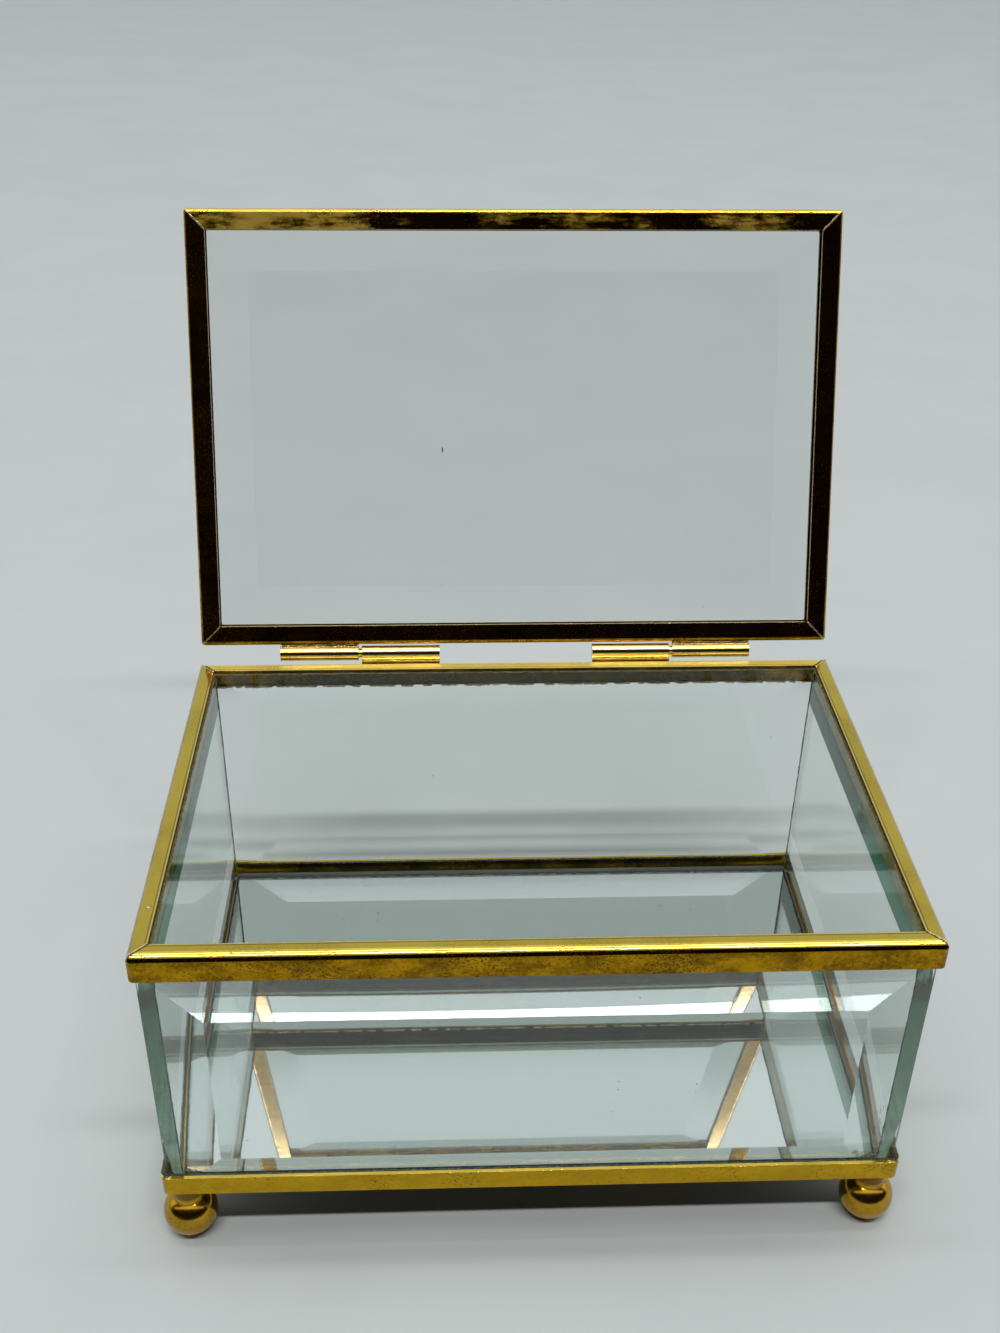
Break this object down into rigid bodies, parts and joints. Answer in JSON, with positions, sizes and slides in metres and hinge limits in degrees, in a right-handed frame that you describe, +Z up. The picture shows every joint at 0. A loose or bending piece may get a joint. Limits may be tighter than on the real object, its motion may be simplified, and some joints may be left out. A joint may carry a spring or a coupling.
{
  "type": "glass casket box",
  "caption": "Brass-edged bevelled glass casket for papers and keepsakes, with a mirror floor, ball feet and a rear-hinged glass lid standing open.",
  "frame": {"origin": "on the surface the feet stand on, under the middle of the whole object with its lid open", "axes": "+Z up, the front faces -Y, +X to the right as seen from the front"},
  "size_m": [0.156, 0.1464, 0.1788],
  "materials": {
    "edging_brass": "polished strip under old lacquer, tarnished in brown specks",
    "hinge_brass": "polished",
    "turned_brass": "mirror-polished",
    "clear_glass": "clear plate with a faint green body and polished bevels",
    "mirror": "silvered plate, spotted near its back edge"
  },
  "bodies": {
    "box": {"base_frame": "edging_brass", "floor_mirror": "mirror", "front_glass": "clear_glass", "back_glass": "clear_glass", "left_glass": "clear_glass", "right_glass": "clear_glass", "rim_front": "edging_brass", "rim_back": "edging_brass", "rim_left": "edging_brass", "rim_right": "edging_brass", "left_hinge_rim_leaf": "hinge_brass", "right_hinge_rim_leaf": "hinge_brass", "left_hinge_pin": "hinge_brass", "right_hinge_pin": "hinge_brass", "foot_front_left": "turned_brass", "foot_front_right": "turned_brass", "foot_back_left": "turned_brass", "foot_back_right": "turned_brass"},
    "lid": {"lid_glass": "clear_glass", "lid_frame_front": "edging_brass", "lid_frame_back": "edging_brass", "lid_frame_left": "edging_brass", "lid_frame_right": "edging_brass", "left_hinge_lid_leaf": "hinge_brass", "right_hinge_lid_leaf": "hinge_brass"}
  },
  "joints": [
    {"name": "lid_hinge", "type": "hinge", "parent": "box", "child": "lid", "pos_m": [0, 0.03287, 0.0814], "axis": [1, 0, 0], "range_deg": [0, 110.6]}
  ]
}
